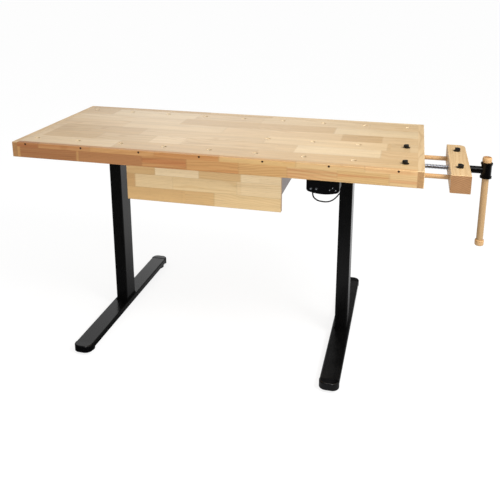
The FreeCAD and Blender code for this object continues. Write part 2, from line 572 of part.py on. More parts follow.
# ---------------------------------------------------------------------------
# bench dogs: a round head with a flat clamping face, on a short round shank
# ---------------------------------------------------------------------------
def dog(x, y, face_dir):
    shank = cyl(x, y, TOP_Z - DOG_BLIND + 1.0, DOG_R - 0.4, DOG_BLIND - 1.0)
    shank = ease(shank, 1.0, lambda m, e: m.z < TOP_Z - DOG_BLIND + 1.1)
    head = cyl(x, y, TOP_Z, 11.5, 11.0)
    head = ease(head, 1.6, lambda m, e: m.z > TOP_Z + 10.9)
    cut_x = x + face_dir * 7.0
    cutb = box(min(cut_x, cut_x + face_dir * 20), y - 20, TOP_Z + 2.0, max(cut_x, cut_x + face_dir * 20), y + 20, TOP_Z + 20)
    return head.cut(cutb).fuse(shank).removeSplitter()


put("bench_dog_top_front", dog(4 * DOG_PITCH, DOG_ROW_FRONT, 1))
put("bench_dog_top_back", dog(4 * DOG_PITCH, DOG_ROW_MIDDLE, 1))
put("bench_dog_jaw_front", dog(jaw_dog_x, DOG_ROW_FRONT, -1))
put("bench_dog_jaw_back", dog(jaw_dog_x, DOG_ROW_MIDDLE, -1))

print("SHIFT_X", SHIFT_X)
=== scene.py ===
import bpy
import bmesh
import math
import random
from mathutils import Vector, Matrix


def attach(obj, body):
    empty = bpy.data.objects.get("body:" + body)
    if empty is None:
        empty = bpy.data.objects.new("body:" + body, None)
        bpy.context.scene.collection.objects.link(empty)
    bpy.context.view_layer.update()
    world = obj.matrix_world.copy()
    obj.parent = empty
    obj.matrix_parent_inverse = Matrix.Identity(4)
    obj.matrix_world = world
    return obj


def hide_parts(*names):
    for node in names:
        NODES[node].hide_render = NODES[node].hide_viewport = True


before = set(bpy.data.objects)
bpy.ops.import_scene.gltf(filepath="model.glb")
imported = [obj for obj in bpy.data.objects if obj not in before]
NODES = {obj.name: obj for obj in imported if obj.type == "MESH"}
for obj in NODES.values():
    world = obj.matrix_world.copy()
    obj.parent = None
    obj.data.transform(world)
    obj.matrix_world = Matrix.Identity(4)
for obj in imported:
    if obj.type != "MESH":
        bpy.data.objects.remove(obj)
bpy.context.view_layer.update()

SHIFT = -0.11225          # bench coordinates to the frame's, along X
scene = bpy.context.scene
col = scene.collection


def P(x, y, z):
    """A point given in bench millimetres, in the frame's metres."""
    return Vector((x / 1000.0 + SHIFT, y / 1000.0, z / 1000.0))


# centres of the handset's buttons, bench X and Z
BUTTONS = {"up": (382.0, 717.5), "down": (400.5, 718.0), "memory_1": (446.0, 717.5), "memory_2": (456.0, 725.0), "memory_3": (466.0, 717.5)}

# ---------------------------------------------------------------------------
# camera
# ---------------------------------------------------------------------------
cam_data = bpy.data.cameras.new("camera")
cam_data.sensor_fit = "HORIZONTAL"
cam_data.sensor_width = 36.0
cam_data.lens = 47.131
cam_data.shift_y = -0.22
cam_data.clip_start = 0.05
cam_data.clip_end = 200.0
cam = bpy.data.objects.new("camera", cam_data)
cam.location = (0.69255 + SHIFT, -2.40108, 1.45981)
cam.rotation_euler = (math.radians(90 - 15.265), 0.0, math.radians(14.101))
col.objects.link(cam)
scene.camera = cam

# ---------------------------------------------------------------------------
# the handset cable: control points of its smooth line, bench millimetres
# ---------------------------------------------------------------------------
CABLE = [
    (384.0, -288.0, 698.0), (384.0, -288.0, 686.5), (386.3, -284.0, 675.5), (391.5, -274.0, 664.8),
    (399.5, -251.0, 650.5), (407.0, -212.0, 634.5), (413.0, -165.0, 616.0), (420.5, -112.0, 598.5),
    (428.5, -57.0, 585.5), (435.0, -4.0, 578.0), (440.5, 42.0, 576.0), (450.0, 82.0, 582.0),
    (463.5, 116.0, 596.0), (478.5, 142.0, 616.5), (492.0, 159.0, 641.0), (502.5, 170.0, 666.5),
    (510.5, 176.5, 690.5), (518.8, 179.5, 710.5), (530.6, 180.2, 725.5), (546.5, 180.0, 733.0),
    (563.0, 180.0, 733.0),
]
cd = bpy.data.curves.new("handset_cable_line", "CURVE")
cd.dimensions = "3D"
sp = cd.splines.new("NURBS")
sp.points.add(len(CABLE) - 1)
for pt, c in zip(sp.points, CABLE):
    v = P(*c)
    pt.co = (v.x, v.y, v.z, 1.0)
    pt.radius = 0.0025
sp.order_u = 3
sp.use_endpoint_u = True
sp.resolution_u = 8
cd.bevel_depth = 1.0
cd.bevel_resolution = 5
cd.use_fill_caps = True
cable = bpy.data.objects.new("handset_cable_line", cd)
col.objects.link(cable)
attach(cable, "lift")
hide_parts("handset_cable")


# ---------------------------------------------------------------------------
# node helpers
# ---------------------------------------------------------------------------
class Tree:
    """Short ways to add nodes to one material."""

    def __init__(self, name):
        self.mat = bpy.data.materials.new(name)
        self.mat.use_nodes = True
        self.t = self.mat.node_tree
        self.t.nodes.clear()
        self.out = self.t.nodes.new("ShaderNodeOutputMaterial")
        self.bsdf = self.t.nodes.new("ShaderNodeBsdfPrincipled")
        self.t.links.new(self.bsdf.outputs[0], self.out.inputs[0])
        tc = self.t.nodes.new("ShaderNodeTexCoord")
        self.obj, self.nrm = tc.outputs["Object"], tc.outputs["Normal"]

    def put(self, sock, val):
        if hasattr(val, "is_output") or isinstance(val, bpy.types.NodeSocket):
            self.t.links.new(val, sock)
        else:
            sock.default_value = val

    def m(self, op, a, b=0.0, c=0.0, clamp=False):
        n = self.t.nodes.new("ShaderNodeMath")
        n.operation = op
        n.use_clamp = clamp
        self.put(n.inputs[0], a)
        self.put(n.inputs[1], b)
        self.put(n.inputs[2], c)
        return n.outputs[0]

    def xyz(self, vec):
        n = self.t.nodes.new("ShaderNodeSeparateXYZ")
        self.put(n.inputs[0], vec)
        return n.outputs[0], n.outputs[1], n.outputs[2]

    def vec(self, x, y, z):
        n = self.t.nodes.new("ShaderNodeCombineXYZ")
        self.put(n.inputs[0], x)
        self.put(n.inputs[1], y)
        self.put(n.inputs[2], z)
        return n.outputs[0]

    def scale(self, vec, s):
        n = self.t.nodes.new("ShaderNodeVectorMath")
        n.operation = "MULTIPLY"
        self.put(n.inputs[0], vec)
        n.inputs[1].default_value = s if hasattr(s, "__len__") else (s, s, s)
        return n.outputs[0]

    def addv(self, a, b):
        n = self.t.nodes.new("ShaderNodeVectorMath")
        n.operation = "ADD"
        self.put(n.inputs[0], a)
        self.put(n.inputs[1], b)
        return n.outputs[0]

    def noise(self, vec, scale=1.0, detail=2.0, rough=0.5, dist=0.0, out="Fac"):
        n = self.t.nodes.new("ShaderNodeTexNoise")
        self.put(n.inputs["Vector"], vec)
        n.inputs["Scale"].default_value = scale
        n.inputs["Detail"].default_value = detail
        n.inputs["Roughness"].default_value = rough
        n.inputs["Distortion"].default_value = dist
        return n.outputs[out]

    def white(self, vec):
        n = self.t.nodes.new("ShaderNodeTexWhiteNoise")
        n.noise_dimensions = "3D"
        self.put(n.inputs["Vector"], vec)
        return n.outputs["Value"], n.outputs["Color"]

    def voronoi(self, vec, scale, feature="F1", out="Distance", rand=1.0):
        n = self.t.nodes.new("ShaderNodeTexVoronoi")
        n.feature = feature
        self.put(n.inputs["Vector"], vec)
        n.inputs["Scale"].default_value = scale
        n.inputs["Randomness"].default_value = rand
        return n.outputs[out]

    def ramp(self, fac, stops, interp="LINEAR"):
        n = self.t.nodes.new("ShaderNodeValToRGB")
        n.color_ramp.interpolation = interp
        e = n.color_ramp.elements
        while len(e) > 1:
            e.remove(e[0])
        e[0].position = stops[0][0]
        e[0].color = (*stops[0][1], 1.0)
        for pos, c in stops[1:]:
            k = e.new(pos)
            k.color = (*c, 1.0)
        self.put(n.inputs[0], fac)
        return n.outputs[0]

    def range(self, val, a, b, c=0.0, d=1.0, smooth=False):
        n = self.t.nodes.new("ShaderNodeMapRange")
        n.interpolation_type = "SMOOTHSTEP" if smooth else "LINEAR"
        n.clamp = True
        self.put(n.inputs[0], val)
        n.inputs[1].default_value = a
        n.inputs[2].default_value = b
        n.inputs[3].default_value = c
        n.inputs[4].default_value = d
        return n.outputs[0]

    def mix(self, fac, a, b, mode="MIX"):
        n = self.t.nodes.new("ShaderNodeMix")
        n.data_type = "RGBA"
        n.blend_type = mode
        n.clamp_factor = True
        self.put(n.inputs[0], fac)
        for s, val in ((n.inputs[6], a), (n.inputs[7], b)):
            if isinstance(val, tuple) and len(val) == 3:
                val = (*val, 1.0)
            self.put(s, val)
        return n.outputs[2]

    def grey(self, v):
        n = self.t.nodes.new("ShaderNodeCombineColor")
        for i in range(3):
            self.put(n.inputs[i], v)
        return n.outputs[0]

    def bump(self, height, strength, distance):
        n = self.t.nodes.new("ShaderNodeBump")
        n.inputs["Strength"].default_value = strength
        n.inputs["Distance"].default_value = distance
        self.put(n.inputs["Height"], height)
        self.t.links.new(n.outputs[0], self.bsdf.inputs["Normal"])
        return n

    def set(self, **kw):
        names = {
            "color": "Base Color", "rough": "Roughness", "metal": "Metallic", "spec": "Specular IOR Level",
            "coat": "Coat Weight", "coat_rough": "Coat Roughness", "ior": "IOR", "trans": "Transmission Weight",
            "aniso": "Anisotropic", "sheen": "Sheen Weight",
        }
        for k, val in kw.items():
            s = self.bsdf.inputs[names[k]]
            if isinstance(val, tuple) and len(val) == 3:
                val = (*val, 1.0)
            self.put(s, val)
        return self


def srgb(h):
    """A colour written as six hex digits, as linear light."""
    out = []
    for i in (0, 2, 4):
        c = int(h[i:i + 2], 16) / 255.0
        out.append(c / 12.92 if c <= 0.04045 else ((c + 0.055) / 1.055) ** 2.4)
    return tuple(out)


# ---------------------------------------------------------------------------
# wood: staves of random blocks, each with rings, streaks, pores and glue lines
# ---------------------------------------------------------------------------
TOP = [(0.0, srgb("C4A679")), (0.2, srgb("CBB086")), (0.45, srgb("D2B78E")), (0.75, srgb("D6BD95")), (1.0, srgb("DCC6A0"))]
DRAWER = [(0.0, srgb("BC9360")), (0.25, srgb("CCA974")), (0.6, srgb("D8BD8E")), (1.0, srgb("E4D1AC"))]
APRON = [(0.0, srgb("8F6038")), (0.25, srgb("A67447")), (0.5, srgb("B98D57")), (0.75, srgb("C0A06D")), (1.0, srgb("C9AD81"))]
DOWEL = [(0.0, srgb("AE8B61")), (0.5, srgb("BB996E")), (1.0, srgb("C8AB80"))]
JAW = [(0.0, srgb("C4A070")), (0.5, srgb("D2B082")), (1.0, srgb("DABC8F"))]
PLY = [(0.0, srgb("C9AC80")), (0.5, srgb("D3B98E")), (1.0, srgb("DCC59D"))]


def wood(name, palette, grain="X", across="Y", v0=0.0, width=0.05, lmin=0.28, lmax=0.62, seed=1.0, ring=0.10,
         blocks=True, fingers=True, tint=0.35, zones=(), layout=(), bright=1.0, rough=0.42, rings_mm=4.2, endgrain=0.78,
         red=0.0, bore_highlight=0.0, holes=(), raw=1.0, endtint="F6DEC4", coat=0.10, coat_rough=0.30, dash=0.10,
         cloud=0.0):
    """Grain runs along one axis and staves lie side by side along another. zones are ((axis, low, high), ..., tone)
    blocks of their own tone, which on the drawer front also carry painted light. layout is a list of (start, tone)
    along the grain, for boards of known blocks; on the front boards those tones also carry painted shade towards the
    left."""
    k = Tree(name)
    x, y, z = k.xyz(k.obj)
    ax = {"X": x, "Y": y, "Z": z}
    nx, ny, nz = k.xyz(k.nrm)
    nax = {"X": nx, "Y": ny, "Z": nz}
    third = [a for a in "XYZ" if a not in (grain, across)][0]
    u, v, w = ax[grain], ax[across], ax[third]
    rowf = k.m("DIVIDE", k.m("SUBTRACT", v, v0), width)
    row = k.m("FLOOR", rowf)
    fv = k.m("FRACT", rowf)
    r1, rc = k.white(k.vec(row, seed, 3.7))
    rr, rg, rb = k.xyz(rc)
    zig = k.m("MULTIPLY", k.m("PINGPONG", v, 0.0021), 3.0) if fingers else 0.0
    if layout:
        uz = k.m("ADD", u, k.m("SUBTRACT", zig, 0.003)) if fingers else u
        blk = 0.0
        edge_u = 9.0
        tone = layout[0][1]
        for start, t in layout[1:]:
            past = k.m("GREATER_THAN", uz, start)
            blk = k.m("ADD", blk, past)
            edge_u = k.m("MINIMUM", edge_u, k.m("ABSOLUTE", k.m("SUBTRACT", uz, start)))
            tone = k.m("ADD", k.m("MULTIPLY", tone, k.m("SUBTRACT", 1.0, past)), k.m("MULTIPLY", past, t))
        own, tc = k.white(k.vec(row, blk, seed))
        tone = k.m("ADD", tone, k.m("MULTIPLY", k.m("SUBTRACT", own, 0.5), 0.06), clamp=True)
    elif blocks:
        length = k.range(r1, 0.0, 1.0, lmin, lmax)
        stretch = k.m("MULTIPLY", k.noise(k.vec(k.m("MULTIPLY", u, 1.7), k.m("MULTIPLY", row, 5.3), seed), 1.0, 0.0, 0.0), 0.55)
        uu = k.m("ADD", k.m("ADD", k.m("ADD", u, stretch), k.m("MULTIPLY", rg, 3.0)), zig)
        uf = k.m("DIVIDE", uu, length)
        blk = k.m("FLOOR", uf)
        fu = k.m("FRACT", uf)
        tone, tc = k.white(k.vec(row, blk, seed))
        edge_u = k.m("MULTIPLY", k.m("MINIMUM", fu, k.m("SUBTRACT", 1.0, fu)), length)
    else:
        blk = 0.0
        tone, tc = k.white(k.vec(row, 1.0, seed))
        edge_u = 9.0
    own = tone
    for zone in zones:
        inside, dist = 1.0, 9.0
        for axis, lo, hi in zone[:-1]:
            c = k.m("ADD", ax[axis], k.m("SUBTRACT", zig, 0.003)) if (axis == grain and fingers) else ax[axis]
            inside = k.m("MULTIPLY", inside, k.m("MULTIPLY", k.m("GREATER_THAN", c, lo), k.m("LESS_THAN", c, hi)))
            if axis == grain:
                dist = k.m("MINIMUM", k.m("ABSOLUTE", k.m("SUBTRACT", c, lo)), k.m("ABSOLUTE", k.m("SUBTRACT", c, hi)))
        out = k.m("SUBTRACT", 1.0, inside)
        tone = k.m("ADD", k.m("MULTIPLY", tone, out), k.m("MULTIPLY", inside, zone[-1]))
        edge_u = k.m("ADD", k.m("MULTIPLY", edge_u, out), k.m("MULTIPLY", inside, dist))
    cr, cg, cb = k.xyz(tc)
    # growth rings about a pith of the block's own
    pv = k.m("MULTIPLY", k.m("SUBTRACT", cr, 0.5), 0.30)
    pw = k.m("SUBTRACT", k.m("MULTIPLY", cg, -0.20), 0.05)
    vv = k.m("SUBTRACT", k.m("MULTIPLY", k.m("SUBTRACT", fv, 0.5), width), pv)
    ww = k.m("SUBTRACT", w, k.m("ADD", pw, 0.74) if third == "Z" else pw)
    wob = k.noise(k.vec(k.m("ADD", k.m("MULTIPLY", u, 1.9), k.m("MULTIPLY", cb, 9.0)), k.m("MULTIPLY", v, 7.0), k.m("MULTIPLY", w, 7.0)), 1.0, 2.5, 0.5)
    rad = k.m("ADD", k.m("SQRT", k.m("ADD", k.m("MULTIPLY", vv, vv), k.m("MULTIPLY", ww, ww))), k.m("MULTIPLY", wob, 0.045))
    rings = k.m("SINE", k.m("MULTIPLY", rad, 2000 * math.pi / rings_mm))
    rings = k.range(rings, -0.7, 1.0, 0.0, 1.0, smooth=True)
    late = k.m("POWER", rings, 2.5)

    def along(su, sv):
        """Noise space drawn out along the grain."""
        parts = {grain: k.m("ADD", k.m("MULTIPLY", u, su), k.m("MULTIPLY", own, 31.0)), across: k.m("MULTIPLY", v, sv), third: k.m("MULTIPLY", w, sv)}
        return k.vec(parts["X"], parts["Y"], parts["Z"])
    streak = k.noise(along(1.3, 42.0), 1.0, 4.0, 0.62)
    fine = k.noise(along(11.0, 560.0), 1.0, 2.0, 0.5)
    pore = k.range(k.noise(along(32.0, 1250.0), 1.0, 1.0, 0.4), 0.63, 0.74, 0.0, 1.0)
    colour = k.ramp(tone, palette)
    colour = k.mix(k.m("MULTIPLY", cb, tint), colour, k.mix(1.0, colour, srgb("F6E6CC"), "MULTIPLY"))
    if red:
        rs = k.range(k.noise(along(0.9, 55.0), 1.0, 2.0, 0.5), 0.50, 0.68, 0.0, red, smooth=True)
        colour = k.mix(rs, colour, k.mix(1.0, colour, srgb("E8A888"), "MULTIPLY"))
    shade = k.m("MULTIPLY", k.m("SUBTRACT", 1.0, k.m("MULTIPLY", late, ring)), k.range(streak, 0.25, 0.75, 0.90, 1.06))
    shade = k.m("MULTIPLY", shade, k.range(fine, 0.2, 0.8, 0.95, 1.04))
    shade = k.m("MULTIPLY", shade, k.m("SUBTRACT", 1.0, k.m("MULTIPLY", pore, 0.20)))
    if cloud:
        # soft patches where the lacquer has drawn in unevenly
        patch = k.m("ADD", k.noise(along(4.0, 21.0), 1.0, 3.0, 0.6), k.m("MULTIPLY", k.noise(along(9.0, 95.0), 1.0, 2.0, 0.5), 0.6))
        shade = k.m("MULTIPLY", shade, k.range(patch, 0.55, 1.05, 1.0 - cloud, 1.0 + 0.5 * cloud))
    # short dark flecks along the grain
    flecks = k.range(k.noise(along(5.5, 170.0), 1.0, 2.0, 0.6), 0.64, 0.72, 0.0, dash, smooth=True)
    shade = k.m("MULTIPLY", shade, k.m("SUBTRACT", 1.0, flecks))
    # glue lines between staves and at the finger joints
    edge_v = k.m("MULTIPLY", k.m("MINIMUM", fv, k.m("SUBTRACT", 1.0, fv)), width)
    line = k.range(edge_v, 0.0002, 0.0008, 1.0, 0.0)
    if blocks or layout:
        line = k.m("MAXIMUM", line, k.m("MULTIPLY", k.range(edge_u, 0.0004, 0.0014, 1.0, 0.0), 0.8))
    shade = k.m("MULTIPLY", shade, k.m("SUBTRACT", 1.0, k.m("MULTIPLY", line, 0.26)))
    # end grain is darker, with stronger rings
    ng = k.range(k.m("ABSOLUTE", nax[grain]), 0.75, 0.95, 0.0, 1.0)
    shade = k.m("MULTIPLY", shade, k.m("SUBTRACT", 1.0, k.m("MULTIPLY", ng, k.m("ADD", 1.0 - endgrain, k.m("MULTIPLY", late, 0.15)))))
    if bore_highlight:
        # painted light: the walls inside the holes are painted paler, a painted highlight standing in for the light
        # that falls into them
        side = k.range(k.m("ABSOLUTE", nz), 0.35, 0.6, 1.0, 0.0)
        if holes:
            near = 9.0
            for hx, hy in holes:
                dx, dy = k.m("SUBTRACT", x, hx), k.m("SUBTRACT", y, hy)
                near = k.m("MINIMUM", near, k.m("SQRT", k.m("ADD", k.m("MULTIPLY", dx, dx), k.m("MULTIPLY", dy, dy))))
            side = k.m("MULTIPLY", side, k.m("LESS_THAN", near, 0.0115))
        painted_bore_highlight = k.m("MULTIPLY", side, bore_highlight)
    shade = k.m("MULTIPLY", shade, bright)
    colour = k.mix(1.0, colour, k.grey(shade), "MULTIPLY")
    warm = k.mix(1.0, colour, srgb("F2D8B4"), "MULTIPLY")
    colour = k.mix(k.m("MULTIPLY", k.m("ADD", late, k.m("SUBTRACT", 1.0, streak)), 0.20), colour, warm)
    colour = k.mix(ng, colour, k.mix(1.0, colour, srgb(endtint), "MULTIPLY"))
    # painted highlight: pale colour laid on the walls inside the holes
    if bore_highlight:
        colour = k.mix(painted_bore_highlight, colour, srgb("EADCBE"))
    k.set(color=colour, rough=k.range(k.m("ADD", fine, streak), 0.5, 1.5, rough - 0.05, rough + 0.08), spec=0.5, coat=coat, coat_rough=coat_rough)
    height = k.m("ADD", k.m("MULTIPLY", fine, 0.5), k.m("MULTIPLY", rings, 0.2))
    height = k.m("SUBTRACT", height, k.m("ADD", k.m("MULTIPLY", pore, 0.8), k.m("MULTIPLY", line, 1.0)))
    k.bump(height, 0.30 * raw, 0.00022)
    return k.mat


# ---------------------------------------------------------------------------
# other finishes
# ---------------------------------------------------------------------------
def powder(name, base, rough=0.44, spec=0.16, grain=1500.0, var=0.25, strength=0.22):
    """Fine-grained powder coat."""
    k = Tree(name)
    n1 = k.noise(k.obj, grain, 2.0, 0.6)
    n2 = k.noise(k.obj, 22.0, 4.0, 0.6)
    n3 = k.noise(k.obj, 240.0, 2.0, 0.5)
    b = k.m("MULTIPLY", k.range(n2, 0.3, 0.7, 1 - var, 1 + var), k.range(n1, 0.3, 0.7, 0.9, 1.1))
    colour = k.mix(1.0, tuple(base), k.grey(b), "MULTIPLY")
    k.set(color=colour, rough=k.range(k.m("ADD", n2, n3), 0.6, 1.4, rough - 0.06, rough + 0.07), spec=spec)
    k.bump(k.m("ADD", n1, k.m("MULTIPLY", n3, 0.6)), strength, 0.00012)
    return k.mat


def plastic(name, base, rough=0.35, spec=0.3, grain=2600.0, strength=0.12, scuff=0.2):
    """Moulded plastic with a spark-eroded skin and faint handling marks."""
    k = Tree(name)
    n1 = k.noise(k.obj, grain, 1.5, 0.5)
    n2 = k.noise(k.obj, 35.0, 5.0, 0.65)
    sc = k.noise(k.scale(k.obj, (90.0, 420.0, 260.0)), 1.0, 3.0, 0.7)
    mark = k.range(sc, 0.62, 0.8, 0.0, scuff)
    colour = k.mix(mark, tuple(base), tuple(min(1.0, c * 2.2 + 0.01) for c in base))
    colour = k.mix(1.0, colour, k.grey(k.range(n2, 0.3, 0.7, 0.86, 1.12)), "MULTIPLY")
    k.set(color=colour, rough=k.m("ADD", k.range(n2, 0.3, 0.7, rough - 0.04, rough + 0.06), k.m("MULTIPLY", mark, 0.25)), spec=spec)
    k.bump(n1, strength, 0.0001)
    return k.mat


def steel(name, base, rough=0.32, axis="X", brushed=True, zinc=False, dark=0.0):
    """Turned, brushed or plated metal."""
    k = Tree(name)
    s = {"X": (900.0, 30.0, 30.0), "Y": (30.0, 900.0, 30.0), "Z": (30.0, 30.0, 900.0)}[axis]
    n1 = k.noise(k.scale(k.obj, s), 1.0, 2.0, 0.6)
    n2 = k.noise(k.obj, 60.0, 4.0, 0.6)
    colour = k.mix(1.0, tuple(base), k.grey(k.range(n2, 0.3, 0.7, 0.85, 1.1)), "MULTIPLY")
    if zinc:
        v = k.voronoi(k.obj, 260.0, out="Color")
        colour = k.mix(0.14, colour, v, "OVERLAY")
    if dark:
        colour = k.mix(k.range(n2, 0.45, 0.7, 0.0, dark), colour, (0.02, 0.018, 0.016))
    k.set(color=colour, metal=1.0, rough=k.range(k.m("ADD", n1, n2), 0.6, 1.4, rough - 0.08, rough + 0.12))
    k.bump(n1 if brushed else n2, 0.12, 0.00008)
    return k.mat


def rubber(name, base, rough=0.6, spec=0.3):
    k = Tree(name)
    n1 = k.noise(k.obj, 900.0, 2.0, 0.6)
    n2 = k.noise(k.obj, 60.0, 4.0, 0.6)
    colour = k.mix(1.0, tuple(base), k.grey(k.range(n2, 0.3, 0.7, 0.8, 1.25)), "MULTIPLY")
    k.set(color=colour, rough=k.range(n2, 0.3, 0.7, rough - 0.08, rough + 0.08), spec=spec)
    k.bump(n1, 0.2, 0.00012)
    return k.mat


def peg_wood(name):
    k = Tree(name)
    x, y, z = k.xyz(k.obj)
    n = k.noise(k.scale(k.obj, (900.0, 60.0, 900.0)), 1.0, 3.0, 0.6)
    k.set(color=k.ramp(n, [(0.2, srgb("1A100A")), (0.6, srgb("3A2415")), (1.0, srgb("52341F"))]), rough=k.range(n, 0.2, 0.8, 0.5, 0.7), spec=0.3)
    k.bump(n, 0.4, 0.0003)
    return k.mat


def paint_satin(name, base, rough=0.4):
    """Sprayed satin paint on board, with slight orange peel."""
    k = Tree(name)
    n1 = k.noise(k.obj, 420.0, 3.0, 0.5)
    n2 = k.noise(k.obj, 9.0, 4.0, 0.6)
    colour = k.mix(1.0, tuple(base), k.grey(k.range(n2, 0.3, 0.7, 0.9, 1.08)), "MULTIPLY")
    k.set(color=colour, rough=k.range(k.m("ADD", n1, n2), 0.6, 1.4, rough - 0.05, rough + 0.06), spec=0.4)
    k.bump(n1, 0.1, 0.0001)
    return k.mat


def bx(*v):
    """Bench X in millimetres to the frame's X."""
    return tuple(a / 1000.0 + SHIFT for a in v)


def give(node, *mats):
    """Assigns the material to every slot of a CAD node."""
    o = NODES[node] if isinstance(node, str) else node
    if not o.material_slots:
        o.data.materials.append(mats[0])
    for i, s in enumerate(o.material_slots):
        s.material = mats[min(i, len(mats) - 1)]


def soften(node, width, segments=2, angle=35):
    """Rounds a hard part's edges a little, the way a moulding or a casting has them."""
    o = NODES[node] if isinstance(node, str) else node
    m = o.modifiers.new("soft_edges", "BEVEL")
    m.width = width
    m.segments = segments
    m.limit_method = "ANGLE"
    m.angle_limit = math.radians(angle)
    m.harden_normals = False
    return m


# worktop: one run of staves 98 mm wide under all its boards
XB = bx(-128, 300, 444, 597, 619, 700, 94, 228, -330, -690, -470, -250)
# the worktop's dog holes get a painted highlight on their walls
top = wood("wood_top", TOP, v0=-0.306, width=0.098, lmin=0.30, lmax=0.62, seed=21.0, ring=0.06, bore_highlight=0.65, coat=0.38, coat_rough=0.15, cloud=0.09, dash=0.14, bright=1.03, zones=(
    (("X", XB[0], XB[1]), ("Y", -0.208, -0.110), 0.26),
    (("X", XB[2], XB[3]), ("Y", -0.012, 0.086), 0.02),
    (("X", XB[4], XB[5]), ("Y", -0.110, -0.012), 0.25),
    (("X", XB[6], XB[7]), ("Y", 0.086, 0.184), 0.28),
    (("X", XB[9], XB[8]), ("Y", -0.110, -0.012), 0.02),
    (("X", XB[9], XB[10]), ("Y", -0.208, -0.110), 0.0),
    (("X", XB[10], XB[11]), ("Y", -0.208, -0.110), 0.15),
))
for n in ("dog_board_front", "slab_board_vise", "dog_board_middle", "slab_board_centre", "dog_board_rear"):
    give(n, top)
# the edge strip's block tones rise from left to right: partly the blocks' own tone, partly painted shade that darkens
# the left end, where less light falls
E1 = bx(-9999, -640, -430, -180, 60, 330, 560)
give("front_edge_strip", wood("wood_edge_strip", APRON, across="Z", v0=0.780, width=0.06, seed=4.0, ring=0.06, red=0.30, bright=1.05, layout=(
    (E1[0], 0.20), (E1[1], 0.34), (E1[2], 0.42), (E1[3], 0.47), (E1[4], 0.74), (E1[5], 0.88), (E1[6], 0.98))))
# the apron's block tones are mostly darker at the left and lighter at the right: partly the blocks' own tone, partly
# painted shade towards the left end
A1 = bx(-9999, -717, -486, -476, -228, -60, 130, 300, 470, 640)
give("front_apron", wood("wood_apron", APRON, across="Z", v0=0.740, width=0.06, seed=11.0, red=0.4, layout=(
    (A1[0], 0.50), (A1[1], 0.13), (A1[2], 0.50), (A1[3], 0.24), (A1[4], 0.36), (A1[5], 0.49), (A1[6], 0.56), (A1[7], 0.84),
    (A1[8], 0.78), (A1[9], 0.98))))
give("back_edge_strip", wood("wood_back_strip", TOP, across="Z", v0=0.749, width=0.030, seed=76.0))
give("end_strip_left", wood("wood_end_left", TOP, grain="Y", across="X", v0=-0.8725, width=0.04, blocks=False, seed=3.0, endgrain=0.62, endtint="FFDCB8"))
give("end_strip_right", wood("wood_end_right", TOP, grain="Y", across="X", v0=0.600, width=0.06, blocks=False, seed=5.0, endgrain=0.72, bright=0.98))
give("edge_pegs", peg_wood("peg_dark_wood"))
# the drawer front's zones make its right end lighter: partly the blocks' own tone, partly painted light falling from
# the right
D1 = bx(-9999, -287, -105, 20, 120, 9999)
give("drawer_front", wood("wood_drawer_front", DRAWER, across="Z", v0=0.5975, width=0.0505, lmin=0.16, lmax=0.42, seed=87.0, ring=0.05, zones=(
    (("X", D1[0], D1[1]), ("Z", 0.648, 0.6985), 0.14),
    (("X", D1[2], D1[3]), ("Z", 0.50, 0.648), 0.30),
    (("X", D1[4], D1[5]), ("Z", 0.648, 0.80), 0.92),
    (("X", D1[3], D1[5]), ("Z", 0.50, 0.648), 0.62))))
ply = wood("wood_drawer_ply", PLY, grain="Y", across="Z", v0=0.60, width=0.3, blocks=False, seed=6.0, ring=0.06)
for n in ("drawer_side_left", "drawer_side_right"):
    give(n, ply)
give("drawer_back", wood("wood_drawer_back", PLY, grain="X", across="Z", v0=0.60, width=0.3, blocks=False, seed=7.0, ring=0.06))
give("drawer_bottom", wood("wood_drawer_bottom", PLY, grain="X", across="Y", v0=-1.0, width=3.0, blocks=False, seed=8.0, ring=0.06))
# the jaw's dog holes get a painted highlight on their walls, like the worktop's
give("vise_jaw", wood("wood_jaw", JAW, grain="Y", across="X", v0=0.7, width=0.2, blocks=False, seed=13.0, rings_mm=5.5, endgrain=0.66, bore_highlight=0.5,
     holes=(bx(862.0) + (-0.250,), bx(862.0) + (-0.050,)), bright=0.85, ring=0.07, endtint="F6D8C4"))
give("guide_rods", wood("wood_rods", DOWEL, grain="X", across="Y", v0=-0.15, width=0.3, blocks=False, seed=14.0, bright=1.04))
give("vise_handle", wood("wood_handle", DOWEL, grain="Z", across="X", v0=0.7, width=0.3, blocks=False, seed=15.0, bright=0.80))
knob_wood = wood("wood_knobs", DOWEL, grain="Z", across="X", v0=0.7, width=0.3, blocks=False, seed=16.0, bright=1.08)
give("handle_caps", knob_wood)

black = powder("black_powder_coat", srgb("060606"), rough=0.22, spec=0.45, strength=0.12)
for n in ("foot_left", "foot_right", "outer_column_left", "outer_column_right", "inner_column_left", "inner_column_right",
          "top_brackets", "crossbars"):
    give(n, black)
hub_black = powder("hub_black", srgb("040303"), rough=0.30, spec=0.28, grain=700.0, strength=0.35)
give("vise_hub", hub_black)
gloss = plastic("cap_plastic", srgb("030304"), rough=0.12, spec=0.5, grain=900.0, strength=0.04)
give("foot_end_caps", gloss)
soften("foot_end_caps", 0.0018, 3)
give("column_collars", plastic("collar_plastic", srgb("0A0A0A"), rough=0.4))
give("control_box", plastic("box_plastic", srgb("0E0E0E"), rough=0.42))
give("handset_housing", plastic("handset_plastic", srgb("050506"), rough=0.44, spec=0.16))
btn = plastic("button_plastic", srgb("17181A"), rough=0.45, spec=0.3)
for n in ("button_up", "button_down", "button_memory_1", "button_memory_2", "button_memory_3"):
    give(n, btn)
dog = plastic("dog_plastic", srgb("100F0E"), rough=0.42, spec=0.3, grain=1200.0)
for n in ("bench_dog_top_front", "bench_dog_top_back", "bench_dog_jaw_front", "bench_dog_jaw_back"):
    give(n, dog)
    soften(n, 0.0006)
give("column_glides", plastic("glide_plastic", srgb("C9C5B8"), rough=0.4))
pad = rubber("levelling_rubber", srgb("0E0E0E"))
